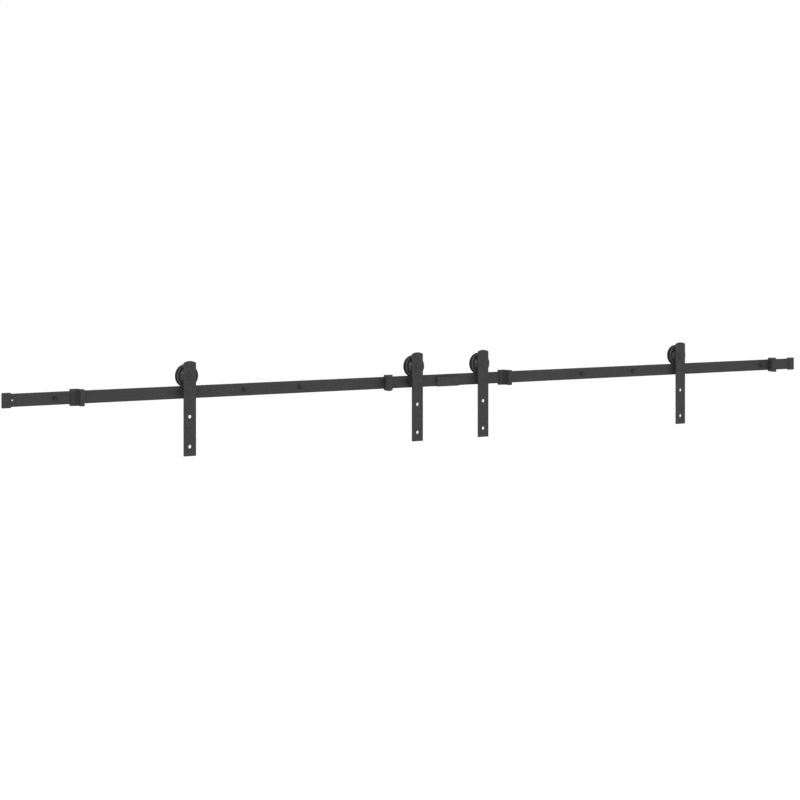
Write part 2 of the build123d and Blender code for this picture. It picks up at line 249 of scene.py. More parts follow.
class Turned:
    """A turned piece: rings of (radius, station) round an axis. Stations run along the axis.

    Several turned pieces can share one bmesh."""

    def __init__(self, place, count=FINE, bm=None):
        self.bm = bmesh.new() if bm is None else bm
        self.place, self.count = place, count
        self.rings = []

    def ring(self, radius, station, hexagon=None, worn=0.0, thread=None):
        points = []
        for i in range(self.count):
            angle = 2 * pi * i / self.count
            r = radius if hexagon is None else hex_limit(radius, hexagon, angle)
            if thread:
                depth, pitch = thread
                phase = (station / pitch - angle / (2 * pi)) % 1
                r -= depth * abs(2 * phase - 1)
            points.append(self.place(r * cos(angle), r * sin(angle), station))
        ring = add_ring(self.bm, points, worn)
        if self.rings:
            bridge(self.bm, self.rings[-1], ring)
        self.rings.append(ring)

    def path(self, corners, closed=False):
        """Rings along a profile of (radius, station, rounding) corners."""
        for radius, station, worn in rounded_profile(corners, closed):
            self.ring(radius, station, worn=worn)
        if closed:
            self.join()

    def join(self):
        """Closes the profile from the last ring back to the first."""
        bridge(self.bm, self.rings[-1], self.rings[0])

    def close_start(self, station):
        fan(self.bm, self.rings[0], self.place(0, 0, station))

    def close_end(self, station):
        fan(self.bm, self.rings[-1], self.place(0, 0, station))

    def screw(self, radius, start, end, depth, pitch):
        """Threaded stretch, with a full helix that fades in and out over a sixth of it."""
        steps = max(2, int(abs(end - start) / pitch * RINGS_PER_TURN))
        for i in range(steps + 1):
            station = start + (end - start) * i / steps
            fade = min(1.0, 6.0 * min(i, steps - i) / steps)
            self.ring(radius, station, thread=(depth * fade, pitch))

    def finish(self, name, *args, **kwargs):
        finish_piece(name, self.bm, *args, **kwargs)


def rounded_profile(corners, closed):
    """Replaces each corner that has a rounding by an arc."""
    result = []
    count = len(corners)
    for i, (radius, station, rounding) in enumerate(corners):
        inner = closed or 0 < i < count - 1
        if not rounding or not inner:
            result.append((radius, station, 0.0))
            continue
        here = Vector((radius, station))
        to_before = (Vector(corners[i - 1][:2]) - here).normalized()
        to_after = (Vector(corners[(i + 1) % count][:2]) - here).normalized()
        half = to_before.angle(to_after) / 2
        reach = rounding / max(0.05, abs(sin(half) / cos(half)))
        centre = here + (to_before + to_after).normalized() * (rounding / sin(half))
        start = here + to_before * reach - centre
        end = here + to_after * reach - centre
        turn = atan2(start.x * end.y - start.y * end.x, start.dot(end))
        for step in range(ROUND_STEPS + 1):
            a = turn * step / ROUND_STEPS
            x = centre.x + start.x * cos(a) - start.y * sin(a)
            y = centre.y + start.x * sin(a) + start.y * cos(a)
            result.append((x, y, 1.0))
    return result


def along_y(cx, cz, origin_y, sense=1):
    """Turned piece on an axis along Y; stations are measured from origin_y."""
    return lambda a, b, s: (cx + a, origin_y + sense * s, cz + b)


def along_z(cx, cy, origin_z):
    return lambda a, b, s: (cx + a, cy + b, origin_z + s)


def along_x(cy, cz, origin_x, sense):
    return lambda a, b, s: (origin_x + sense * s, cy + a, cz + b)


# ---------------------------------------------------------------- materials

MIDDLE = (0.3, 0.7)          # most of a noise's values lie in this span
FULL = (0.0, 1.0)
NEUTRAL = (1.0, 1.0, 1.0)
FAINT_BLUE = (1.0, 1.0, 1.02)


class Surface:
    """A material and its node tree, with textures laid in the object's own space."""

    def __init__(self, name):
        self.material = bpy.data.materials.new(name)
        self.material.use_nodes = True
        self.nodes = self.material.node_tree.nodes
        self.links = self.material.node_tree.links
        self.inputs = self.nodes["Principled BSDF"].inputs
        self.place = self.nodes.new("ShaderNodeTexCoord").outputs["Object"]

    def edge(self):
        """The value painted on rounded and running edges."""
        node = self.nodes.new("ShaderNodeAttribute")
        node.attribute_name = "edge"
        return node.outputs["Fac"]

    def noise(self, scale, detail=3.0, rough=0.55):
        """Noise with about this many features to the metre."""
        texture = self.nodes.new("ShaderNodeTexNoise")
        texture.inputs["Scale"].default_value = scale
        texture.inputs["Detail"].default_value = detail
        texture.inputs["Roughness"].default_value = rough
        self.links.new(self.place, texture.inputs["Vector"])
        return texture.outputs["Fac"]

    def ramp(self, value, span, result):
        """Maps a value from the span (low, high) to the result (dark, light)."""
        node = self.nodes.new("ShaderNodeMapRange")
        node.inputs["From Min"].default_value, node.inputs["From Max"].default_value = span
        node.inputs["To Min"].default_value, node.inputs["To Max"].default_value = result
        self.links.new(value, node.inputs["Value"])
        return node.outputs["Result"]

    def combine(self, operation, one, two):
        node = self.nodes.new("ShaderNodeMath")
        node.operation = operation
        for socket, value in zip(node.inputs, (one, two)):
            if isinstance(value, (int, float)):
                socket.default_value = value
            else:
                self.links.new(value, socket)
        return node.outputs["Value"]

    def times(self, one, two):
        return self.combine("MULTIPLY", one, two)

    def plus(self, one, two):
        return self.combine("ADD", one, two)

    def colour(self, value, tint):
        """Base colour: a grey value times a tint."""
        node = self.nodes.new("ShaderNodeCombineColor")
        for socket, share in zip(node.inputs, tint):
            self.links.new(self.times(value, share), socket)
        self.links.new(node.outputs["Color"], self.inputs["Base Color"])

    def roughness(self, value):
        self.links.new(value, self.inputs["Roughness"])

    def bump(self, height, strength, distance):
        bump = self.nodes.new("ShaderNodeBump")
        bump.inputs["Strength"].default_value = strength
        bump.inputs["Distance"].default_value = distance
        self.links.new(height, bump.inputs["Height"])
        self.links.new(bump.outputs["Normal"], self.inputs["Normal"])


def powder_coat(name, grey, gloss, specular, tint=FAINT_BLUE):
    """Matte powder coat: fine grain, slow colour drift, thin and a little lighter on edges."""
    coat = Surface(name)
    drift = coat.ramp(coat.noise(9.0, 2.0), MIDDLE, (0.94 * grey, 1.06 * grey))
    speckle = coat.ramp(coat.noise(1500.0, 2.0, 0.6), (0.35, 0.65), (0.91, 1.09))
    patchy = coat.ramp(coat.noise(160.0, 4.0), (0.42, 0.68), FULL)
    thin = coat.times(coat.edge(), patchy)
    coat.colour(coat.plus(coat.times(drift, speckle), coat.times(thin, 0.55 * grey)), tint)
    rough = coat.ramp(coat.noise(260.0), MIDDLE, (gloss - 0.05, gloss + 0.06))
    coat.roughness(coat.combine("SUBTRACT", rough, coat.times(thin, 0.12)))
    grain = coat.noise(1300.0, 3.0, 0.65)
    orange_peel = coat.noise(330.0, 1.0)
    coat.bump(coat.plus(grain, coat.times(orange_peel, 1.6)), 0.17, 0.12 * MM)
    coat.inputs["IOR"].default_value = 1.45
    coat.inputs["Specular IOR Level"].default_value = specular
    return coat.material


def nylon(name, grey, rough):
    """Turned nylon with a satin face; the running surfaces are worn dull, and painted shade
    darkens their colour.
    """
    face = Surface(name)
    worn = face.edge()
    cloud = face.ramp(face.noise(55.0), MIDDLE, (0.9 * grey, 1.12 * grey))
    # painted shade: the tread and groove take a base colour about four times darker than the face
    painted_tread_shade = face.ramp(worn, FULL, (1.0, 0.24))
    face.colour(face.times(cloud, painted_tread_shade), (1.0, 1.0, 1.03))
    gloss = face.ramp(face.noise(420.0), MIDDLE, (rough - 0.05, rough + 0.07))
    face.roughness(face.plus(gloss, face.times(worn, 0.4)))
    face.bump(face.noise(800.0, 2.0), 0.15, 0.05 * MM)
    face.inputs["Specular IOR Level"].default_value = 0.33
    return face.material


def metal(name, grey, rough, tint=NEUTRAL):
    """Machined or plated steel with a fine, slightly uneven surface."""
    steel = Surface(name)
    fine = steel.noise(700.0, 4.0, 0.6)
    broad = steel.noise(60.0, 2.0)
    value = steel.times(steel.ramp(fine, MIDDLE, (0.9 * grey, 1.08 * grey)),
                        steel.ramp(broad, MIDDLE, (0.93, 1.05)))
    steel.colour(value, tint)
    steel.roughness(steel.ramp(fine, MIDDLE, (rough - 0.06, rough + 0.08)))
    steel.bump(fine, 0.12, 0.06 * MM)
    steel.inputs["Metallic"].default_value = 1.0
    return steel.material


def rubber(name, grey, rough=0.72):
    """Moulded rubber: fine pitted skin with dusty patches."""
    moulded = Surface(name)
    dust = moulded.ramp(moulded.noise(45.0, 4.0), (0.4, 0.75), (grey, 1.35 * grey))
    pits = moulded.ramp(moulded.noise(1700.0, 2.0), MIDDLE, (0.9, 1.1))
    moulded.colour(moulded.times(dust, pits), NEUTRAL)
    moulded.roughness(moulded.ramp(moulded.noise(200.0), MIDDLE, (rough - 0.05, rough + 0.08)))
    moulded.bump(moulded.noise(900.0), 0.3, 0.15 * MM)
    moulded.inputs["IOR"].default_value = 1.5
    return moulded.material


COAT = powder_coat("powder_coat_charcoal", 0.0312, 0.58, 0.24)
BOLT_COAT = powder_coat("powder_coat_bolt", 0.0262, 0.42, 0.3)
OXIDE = powder_coat("black_oxide", 0.0220, 0.45, 0.18, (1.0, 1.0, 1.04))
WHEEL_NYLON = nylon("black_nylon", 0.034, 0.23)
RUBBER = rubber("black_rubber", 0.021)
CAP_RUBBER = rubber("cap_rubber", 0.0150, 0.66)
NYLON = rubber("nylon_insert", 0.30, 0.45)
BEARING = metal("bearing_steel", 0.55, 0.24)
ZINC = metal("zinc_plate", 0.50, 0.34, FAINT_BLUE)

SLOT_MATERIAL = {"powder_coat": COAT, "wheel_nylon": WHEEL_NYLON, "black_rubber": RUBBER,
                 "black_fastener": OXIDE, "bearing_steel": BEARING, "zinc": ZINC}


def dress_nodes():
    """Every carried-over CAD node takes the material of its slot."""
    slots = {part["node"]: part["material_slot"] for part in frame["record"]["subparts"]}
    for name, node in frame["nodes"].items():
        node.data.materials.clear()
        node.data.materials.append(SLOT_MATERIAL[slots[name]])


# ---------------------------------------------------------------- track

RAIL_LOW, RAIL_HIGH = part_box("rail_left")
RAIL_FRONT_Y, RAIL_BACK_Y = RAIL_LOW.y, RAIL_HIGH.y
RAIL_TOP_Z, RAIL_BOTTOM_Z = RAIL_HIGH.z, RAIL_LOW.z
RAIL_MID_Y = (RAIL_FRONT_Y + RAIL_BACK_Y) / 2
HEXAGON_SHARES = (0.0, 0.35, 0.7, 1.0)                   # rings of a hexagon's bevel
WALL_STATIONS = (0.156, 0.552, 0.775, 0.972, 1.368)      # from the left end of each bar
END_HOLE = 0.026                                         # from each end of a bar
END_HOLE_RADIUS = 0.00275
WALL_HOLE_RADIUS = 0.0036
DRILLED_EDGE = 0.4 * MM


def rail_bar(node):
    """Drawn flat bar with softened edges and drilled holes."""
    low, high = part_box(node)
    outline = rounded_rectangle(low.x, low.z, high.x, high.z, 0.9 * MM, 3)
    bar = Plate(outline, high.y - low.y, 0.8 * MM, xz_place(low.y))
    for station in WALL_STATIONS:
        bar.hole(circle(low.x + station, 0, WALL_HOLE_RADIUS), DRILLED_EDGE)
    for x in (low.x + END_HOLE, high.x - END_HOLE):
        bar.hole(circle(x, 0, END_HOLE_RADIUS), DRILLED_EDGE)
    bar.finish(f"{node}_bar", "track", "powder_coat", COAT, replaces=[node])


def wall_spacers(node, left_end):
    """Turned tube spacers, chamfered at both ends."""
    low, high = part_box(node)
    radius = (high.z - low.z) / 2
    length = high.y - low.y
    outer_edge = 0.9 * MM
    spacers = bmesh.new()
    for station in WALL_STATIONS:
        tube = Turned(along_y(left_end + station, 0, low.y), MEDIUM, spacers)
        tube.path([(WALL_HOLE_RADIUS, 0, DRILLED_EDGE), (radius, 0, outer_edge),
                   (radius, length, outer_edge), (WALL_HOLE_RADIUS, length, DRILLED_EDGE)],
                  closed=True)
    finish_piece(f"{node}_tubes", spacers, "track", "powder_coat", COAT, replaces=[node])


def hexagon_bevel(piece, across, start, bevel, shares):
    """Rings of a hexagon between a round end face (share 0) and full corners (share 1)."""
    corner = across / sqrt(3)
    for share in shares:
        radius = across / 2 + (corner - across / 2) * share
        piece.ring(radius, start + bevel * share, hexagon=across, worn=0.8)


def wall_bolts(node, left_end):
    """Hexagon-head wall screws: plain through bar and spacer, then coarse thread and point."""
    low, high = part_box(node)
    across = high.z - low.z
    head_face = low.y + 0.05 * MM
    head_rim = across / 2 - 0.5 * MM
    head_bevel, seat_bevel = 0.8 * MM, 0.4 * MM
    shank, neck = 3.2 * MM, 2.95 * MM
    shank_end, neck_end = -1.0 * MM, -0.4 * MM
    thread, thread_depth, pitch = 3.1 * MM, 0.65 * MM, 2.5 * MM
    point = high.y - 6 * MM
    bolts = bmesh.new()
    for station in WALL_STATIONS:
        bolt = Turned(along_y(left_end + station, 0, 0), HEXAGON_STEPS, bolts)
        bolt.ring(across * 0.2, head_face)
        bolt.close_start(head_face)
        bolt.ring(head_rim, head_face)
        hexagon_bevel(bolt, across, low.y + 0.2 * MM, head_bevel, HEXAGON_SHARES)
        hexagon_bevel(bolt, across, RAIL_FRONT_Y - seat_bevel, -seat_bevel, (1.0, 0.5, 0.0))
        bolt.ring(head_rim, RAIL_FRONT_Y)
        bolt.ring(shank, RAIL_FRONT_Y)
        bolt.ring(shank, shank_end)
        bolt.ring(neck, neck_end)
        bolt.screw(thread, 0, point, thread_depth, pitch)
        bolt.ring(2.3 * MM, point + 1.3 * MM)
        bolt.ring(0.8 * MM, high.y - 1.4 * MM)
        bolt.close_end(high.y)
    finish_piece(f"{node}_hexagon", bolts, "track", "black_fastener", OXIDE,
                 replaces=[node])


def joint_plate():
    """Lap plate over the joint, plain in front; its screws come from behind."""
    low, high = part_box("joint_plate")
    outline = rounded_rectangle(low.x, low.z, high.x, high.z, 3 * MM, 8)
    plate = Plate(outline, high.y - low.y, 0.9 * MM, xz_place(low.y))
    plate.finish("joint_plate_lap", "track", "powder_coat", COAT, replaces=["joint_plate"])


def joint_screws():
    """Button-head screws from behind the bars, threaded into the lap plate."""
    low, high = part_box("joint_screws")
    length = high.y - low.y
    socket, socket_floor, socket_tip = 3 * MM, 1.7 * MM, 2.0 * MM
    button = ((2.9, 0.12), (3.6, 0.5), (4.2, 1.1), (4.5, 1.8), (4.6, 2.4), (4.5, 2.8), (2.7, 2.8))
    thread, thread_depth, pitch = 2.7 * MM, 0.35 * MM, 0.8 * MM
    thread_start = length - 6 * MM
    screws = bmesh.new()
    for x in (-END_HOLE, END_HOLE):
        screw = Turned(along_y(x, 0, high.y, -1), HEXAGON_STEPS, screws)
        screw.ring(socket, socket_floor, hexagon=socket)
        screw.close_start(socket_tip)
        screw.ring(socket, 0.2 * MM, hexagon=socket)
        screw.ring(1.95 * MM, 0, worn=1.0)
        for radius, station in button:
            screw.ring(radius * MM, station * MM, worn=0.6)
        screw.ring(thread, thread_start)
        screw.screw(thread, thread_start, length - 0.5 * MM, thread_depth, pitch)
        screw.ring(2.1 * MM, length)
        screw.close_end(length)
    finish_piece("joint_screw_pair", screws, "track", "black_fastener", OXIDE,
                 replaces=["joint_screws"])


def joint_washers():
    """Flat washers under the heads of the joint screws."""
    low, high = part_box("joint_washers")
    thick = high.y - low.y
    bore, bore_edge = 2.8 * MM, 0.1 * MM
    rim, rim_edge = 5.5 * MM, 0.3 * MM
    washers = bmesh.new()
    for x in (-END_HOLE, END_HOLE):
        washer = Turned(along_y(x, 0, low.y), MEDIUM, washers)
        washer.path([(bore, 0, bore_edge), (rim, 0, rim_edge), (rim, thick, rim_edge),
                     (bore, thick, bore_edge)], closed=True)
    finish_piece("joint_washer_pair", washers, "track", "zinc", ZINC,
                 replaces=["joint_washers"])


def end_cap(node, side):
    """Moulded sleeve cap: rounded closed end, bevelled mouth, pocket for the bar."""
    low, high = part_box(node)
    closed, mouth = (high.x, low.x) if side > 0 else (low.x, high.x)
    inward = -side
    corner = 2.4 * MM
    end_round = 2.2 * MM
    end_thick = 5.0 * MM
    wall = 2.85 * MM                                     # round the pocket
    bevel_start = mouth + side * 3.2 * MM
    bm = bmesh.new()

    def section(x, inset, radius, worn=0.0):
        return yz_ring(bm, x, yz_section(low, high, inset, radius, 6), worn)

    rings = []
    for inset, depth in rounded_steps(end_round, 6):
        radius = max(corner - inset * 0.9, 0.3 * MM)
        rings.append(section(closed + inward * depth, inset, radius, 0.5))
    for offset in (0.6, 0.2, -0.2):
        inset = max(0.0, -offset) * 0.3 * MM
        rings.append(section(bevel_start + side * offset * MM, inset, corner))
    rings.append(section(mouth + side * 0.3 * MM, 1.9 * MM, corner * 0.7))
    rings.append(section(mouth, 2.3 * MM, corner * 0.6, 1.0))
    rings.append(section(mouth + side * 0.1 * MM, wall, 1.0 * MM, 1.0))
    rings.append(section(closed + inward * end_thick, wall, 1.0 * MM))
    capped_skin(bm, rings)
    finish_piece(f"{node}_cover", bm, "track", "black_rubber", CAP_RUBBER, replaces=[node])


STOP_PLATE_THICK = 5 * MM
STOP_SLEEVE_WALL = 4.5 * MM
STOP_CORNER = 2.0 * MM
STOP_FIT = 0.25 * MM          # clearance round the bar
STUD_RADIUS, STUD_HOLE_RADIUS = 3.95 * MM, 4 * MM
SET_SCREW_REACH = 7 * MM      # from the middle of a stop


def stop(number, facing):
    """End plate welded to a short sleeve, with a rubber buffer on the plate."""
    name = f"stop_{number}"
    low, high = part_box(f"{name}_bracket")
    pad_low, pad_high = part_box(f"{name}_pad")
    stud_y = (pad_low.y + pad_high.y) / 2
    plate_face, far = (high.x, low.x) if facing > 0 else (low.x, high.x)
    near = plate_face - facing * STOP_PLATE_THICK
    sleeve_front = RAIL_FRONT_Y - STOP_SLEEVE_WALL
    stop_plate(name, low, high, plate_face, facing, stud_y)
    stop_sleeve(name, low, high, near, far, -facing, sleeve_front)
    weld_bead(f"{name}_weld", near, -facing, sleeve_front, low.z, high.z)
    stop_pad(name, facing, pad_low, pad_high, plate_face, stud_y)


def stop_bore(outset, radius, count):
    """Loop round the bar, with the stop's clearance and an outset."""
    room = STOP_FIT + outset
    return rounded_rectangle(RAIL_FRONT_Y - room, RAIL_BOTTOM_Z - room,
                             RAIL_BACK_Y + room, RAIL_TOP_Z + room, radius, count)


def stop_plate(name, low, high, plate_face, facing, stud_y):
    """Plate with a slot for the bar and a hole for the buffer's stud."""
    outline = rounded_rectangle(low.y, low.z, high.y, high.z, STOP_CORNER, 5)
    plate = Plate(outline, STOP_PLATE_THICK, 0.7 * MM, yz_place(plate_face, -facing))
    plate.hole(stop_bore(0, 0.4 * MM, 2), 0.3 * MM)
    plate.hole(circle(stud_y, 0, STUD_HOLE_RADIUS, 32), DRILLED_EDGE)
    plate.finish(f"{name}_plate", "track", "powder_coat", COAT, replaces=[f"{name}_bracket"])


def stop_sleeve(name, low, high, near, far, sense, sleeve_front):
    """Box sleeve round the bar, from the end plate (near) to its free end (far)."""
    bm = bmesh.new()
    rings = []
    free_edge, mouth_edge = 0.8 * MM, 0.4 * MM

    def section(x, inset, worn=0.0):
        loop = rounded_rectangle(sleeve_front + inset, low.z + inset,
                                 high.y - inset, high.z - inset, STOP_CORNER, 5)
        rings.append(yz_ring(bm, x, loop, worn))

    def bore_section(x, outset, worn=0.0):
        rings.append(yz_ring(bm, x, stop_bore(outset, 0.5 * MM, 5), worn))

    section(near, 0)
    for inset, depth in reversed(rounded_steps(free_edge)):
        section(far - sense * depth, inset, 1.0)
    bore_section(far, mouth_edge, 1.0)
    bore_section(far - sense * mouth_edge, 0)
    bore_section(near, 0)
    skin(bm, rings)
    bridge(bm, rings[-1], rings[0])
    finish_piece(f"{name}_sleeve", bm, "track", "powder_coat", COAT)


def weld_bead(name, x, sense, y, z_low, z_high):
    """Fillet weld down the front corner between sleeve and plate, with even ripples."""
    bm = bmesh.new()
    leg = 2.4 * MM
    ripple = 1.6 * MM
    root = 0.3 * MM
    steps = 64
    margin = 2.5 * MM
    around = 10
    rings = []
    for k in range(steps + 1):
        share = k / steps
        z = z_low + margin + (z_high - z_low - 2 * margin) * share
        swell = 1 + 0.10 * abs(sin(pi * (z - z_low) / ripple))
        taper = min(1.0, 10 * share, 10 * (1 - share)) ** 0.5 + 0.02
        ring = []
        for i in range(around):
            angle = pi / 2 * i / (around - 1)
            r = leg * swell * taper * (0.82 + 0.18 * abs(cos(2 * angle)))
            ring.append((x + sense * r * cos(angle), y - r * sin(angle), z))
        ring.append((x - sense * root, y + root, z))
        rings.append(add_ring(bm, ring, 0.3))
    capped_skin(bm, rings)
    finish_piece(name, bm, "track", "powder_coat", COAT, smooth_angle=60)


def stop_pad(name, facing, low, high, plate_face, stud_y):
    """Rubber buffer with a rounded striking face, and a moulded stud through the plate."""
    strike = high.x if facing > 0 else low.x
    foot, strike_edge = 0.4 * MM, 2.4 * MM
    stud_start = -0.5 * MM                               # a little way inside the buffer
    bm = bmesh.new()
    rings = []

    def section(x, inset, radius, worn=0.0):
        rings.append(yz_ring(bm, x, yz_section(low, high, inset, radius, 6), worn))

    section(plate_face, foot, 2 * MM)
    section(plate_face + facing * foot, 0, 2.2 * MM)
    for inset, depth in reversed(rounded_steps(strike_edge, 6)):
        corner = max(2.6 * MM - inset * 0.7, 0.8 * MM)
        section(strike - facing * depth, inset, corner, 1.0)
    capped_skin(bm, rings)
    finish_piece(f"{name}_buffer", bm, "track", "black_rubber", RUBBER,
                 replaces=[f"{name}_pad"])

    stud = Turned(along_x(stud_y, 0, plate_face, -facing), SMALL)
    stud.ring(STUD_RADIUS, stud_start)
    stud.close_start(stud_start)
    stud.ring(STUD_RADIUS, STOP_PLATE_THICK)
    for share in (0.0, 0.4, 0.75, 1.0):
        head = (4.9 - 1.8 * share ** 2) * MM
        stud.ring(head, STOP_PLATE_THICK + (0.1 + 1.6 * share) * MM)
    stud.close_end(STOP_PLATE_THICK + 1.9 * MM)
    stud.finish(f"{name}_buffer_stud", "track", "black_rubber", RUBBER)


def set_screws():
    """Hexagon-socket set screws under the sleeves."""
    low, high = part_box("stop_set_screws")
    length = high.z - low.z
    socket, socket_floor, socket_tip = 2.9 * MM, 2.8 * MM, 3.1 * MM
    thread, thread_depth, pitch = 2.95 * MM, 0.35 * MM, 1.0 * MM
    screws = bmesh.new()
    for number in range(1, 5):
        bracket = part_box(f"stop_{number}_bracket")
        middle = (bracket[0].x + bracket[1].x) / 2
        for x in (middle - SET_SCREW_REACH, middle + SET_SCREW_REACH):
            screw = Turned(along_z(x, RAIL_MID_Y, low.z), SMALL, screws)
            screw.ring(socket, socket_floor, hexagon=socket)
            screw.close_start(socket_tip)
            screw.ring(socket, 0.1 * MM, hexagon=socket)
            screw.ring(1.9 * MM, 0)
            screw.ring(2.5 * MM, 0, worn=1.0)
            screw.ring(thread, 0.45 * MM, worn=1.0)
            screw.screw(thread, 0.5 * MM, length - 0.3 * MM, thread_depth, pitch)
            screw.ring(2.2 * MM, length)
            screw.close_end(length)
    finish_piece("stop_set_screw_group", screws, "track", "black_fastener", OXIDE,
                 replaces=["stop_set_screws"])


# ---------------------------------------------------------------- hangers

STRAP_CROWN_RADIUS = 0.042
DOOR_HOLE_RADIUS = 0.0055
DOOR_HOLE_SPACING = 0.090
DOOR_HOLE_END = 0.0285                                   # lower hole, from the strap's end
AXLE_OVER_RAIL = 0.030
AXLE_Z = RAIL_TOP_Z + AXLE_OVER_RAIL
AXLE_RADIUS = 4.99 * MM
AXLE_HOLE_RADIUS = 5.05 * MM                             # in the strap and in the nut
AXLE_FIT = 5.02 * MM                                     # bore of collars and nylon ring
BEARING_BORE, BEARING_INNER_RIM = 5.01 * MM, 7.2 * MM
BEARING_OUTER_BORE, BEARING_RIM = 10.8 * MM, 12.98 * MM
SHIELD_DEPTH = 0.6 * MM                                  # below the faces of the bearing


def strap_outline(low, high):
    """Straight strap with a crowned top and slightly eased corners."""
    middle = (low.x + high.x) / 2
    half = (high.x - low.x) / 2
    ease = 0.5 * MM
    centre = high.z - STRAP_CROWN_RADIUS
    shoulder = centre + sqrt(STRAP_CROWN_RADIUS ** 2 - half ** 2)
    crown_start = degrees(atan2(shoulder - centre, half)) + 0.7
    outline = arc_points(middle - half + ease, low.z + ease, ease, 180, 270, 3)
    outline += arc_points(middle + half - ease, low.z + ease, ease, 270, 360, 3)
    outline += [(middle + half, shoulder - ease)]
    outline += arc_points(middle, centre, STRAP_CROWN_RADIUS, crown_start, 180 - crown_start, 24)
    outline += [(middle - half, shoulder - ease)]
    return outline


def strap(number, body):
    """Hanger strap with its axle hole and door-bolt holes; gives its middle and both faces."""
    node = f"strap_{number}"
    low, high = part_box(node)
    middle = (low.x + high.x) / 2
    plate = Plate(strap_outline(low, high), high.y - low.y, 0.7 * MM, xz_place(low.y))
    for z in (low.z + DOOR_HOLE_END, low.z + DOOR_HOLE_END + DOOR_HOLE_SPACING):
        plate.hole(circle(middle, z, DOOR_HOLE_RADIUS), 0.5 * MM)
    plate.hole(circle(middle, AXLE_Z, AXLE_HOLE_RADIUS), 0.3 * MM)
    plate.finish(f"{node}_bar", body, "powder_coat", COAT, replaces=[node])
    return middle, low.y, high.y


def axle_bolt(number, body, x, strap_front):
    """Carriage bolt with a low dome before the strap; its thread shows past the lock nut."""
    node = f"axle_bolt_{number}"
    low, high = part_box(node)
    head = (high.x - low.x) / 2
    top = low.y
    rim = 0.8 * MM
    rise = strap_front - top - rim
    dome = (head ** 2 + rise ** 2) / (2 * rise)
    thread_start = high.y - 8 * MM
    thread_depth, pitch = 0.75 * MM, 1.5 * MM
    bolt = Turned(along_y(x, AXLE_Z, 0))
    for share in (0.12, 0.25, 0.38, 0.5, 0.61, 0.71, 0.8, 0.88, 0.94, 0.98):
        radius = head * share
        bolt.ring(radius, top + dome - sqrt(dome ** 2 - radius ** 2))
    bolt.close_start(top)
    bolt.ring(head - 0.1 * MM, strap_front - rim * 0.8, worn=1.0)
    bolt.ring(head, strap_front - rim * 0.5, worn=1.0)
    bolt.ring(head - 0.25 * MM, strap_front)
    bolt.ring(AXLE_RADIUS, strap_front)
    bolt.ring(AXLE_RADIUS, thread_start)
    bolt.screw(AXLE_RADIUS, thread_start, high.y - 0.8 * MM, thread_depth, pitch)
    bolt.ring(4.1 * MM, high.y)
    bolt.close_end(high.y)
    bolt.finish(f"{node}_turned", body, "black_fastener", BOLT_COAT, replaces=[node])


def axle_collars(number, body, x, strap_back):
    """Front and back collars that clamp the bearing's inner ring."""
    node = f"axle_collars_{number}"
    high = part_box(node)[1]
    bearing_low, bearing_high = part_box(f"bearing_inner_{number}")
    edge = 0.5 * MM
    front = (strap_back, bearing_low.y, 8 * MM)
    back = (bearing_high.y, high.y, 7.4 * MM)
    collars = bmesh.new()
    for start, end, radius in (front, back):
        collar = Turned(along_y(x, AXLE_Z, 0), MEDIUM, collars)
        collar.path([(AXLE_FIT, start, 0), (radius, start, edge), (radius, end, edge),
                     (AXLE_FIT, end, 0)], closed=True)
    finish_piece(f"{node}_turned", collars, body, "powder_coat", COAT, replaces=[node])


def axle_nut(number, body, x):
    """Lock nut: chamfered hexagon and a rolled collar that holds a nylon ring."""
    node = f"axle_nut_{number}"
    low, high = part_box(node)
    across = high.z - low.z
    bevel = 0.9 * MM
    collar_start = high.y - 2.4 * MM
    lip, lip_round = 6.4 * MM, 1.0 * MM
    pocket_floor = high.y - 1.6 * MM
    nut = Turned(along_y(x, AXLE_Z, 0))
    nut.ring(5.6 * MM, low.y)
    nut.ring(across / 2 - 0.2 * MM, low.y, worn=0.4)
    hexagon_bevel(nut, across, low.y, bevel, HEXAGON_SHARES)
    hexagon_bevel(nut, across, collar_start, -bevel, HEXAGON_SHARES[::-1])
    nut.ring(7.5 * MM, collar_start + 0.1 * MM)
    for angle in (0, 30, 60, 90):
        turn = radians(angle)
        nut.ring(lip + lip_round * cos(turn), high.y - lip_round * (1 - sin(turn)), worn=0.8)
    nut.ring(6.3 * MM, high.y - 0.3 * MM)
    nut.ring(6.2 * MM, pocket_floor)
    nut.ring(AXLE_HOLE_RADIUS, pocket_floor)
    nut.ring(AXLE_HOLE_RADIUS, low.y + 0.5 * MM)
    nut.join()
    nut.finish(f"{node}_hexagon", body, "zinc", ZINC, replaces=[node])

    insert_rim, insert_back = 6.18 * MM, high.y - 1.55 * MM
    insert = Turned(along_y(x, AXLE_Z, 0), MEDIUM)
    insert.path([(AXLE_FIT, insert_back, 0), (insert_rim, insert_back, 0.1 * MM),
                 (insert_rim, high.y - 0.35 * MM, 0.3 * MM),
                 (AXLE_FIT, high.y - 0.45 * MM, 0.2 * MM)], closed=True)
    insert.finish(f"{node}_nylon_ring", body, "zinc", NYLON)


def bearing_ring(name, node, body, x, inner, outer, start, end, groove):
    """Ball-bearing ring with its ball groove on one side."""
    edge = 0.35 * MM
    groove_radius, groove_half = 1.85 * MM, 1.5 * MM
    groove_lift = 1.08 * MM                              # its centre, clear of the ring
    middle = (start + end) / 2
    track = []
    for step in range(9):
        y = -groove_half + 2 * groove_half * step / 8
        track.append((sqrt(groove_radius ** 2 - y ** 2) - groove_lift, middle + y))
    way = 1 if groove == "outside" else -1
    plain, grooved = (inner, outer)[::way]
    near, far = (start, end)[::way]
    ring = Turned(along_y(x, AXLE_Z, 0))
    ring.path([(plain, far, edge), (plain, near, edge), (grooved, near, edge)])
    for depth, y in track[::way]:
        ring.ring(grooved - way * depth, y)
    ring.path([(grooved, far - way * edge, 0), (grooved - way * edge, far, 0)])
    ring.join()
    ring.finish(name, body, "bearing_steel", BEARING, replaces=[node])


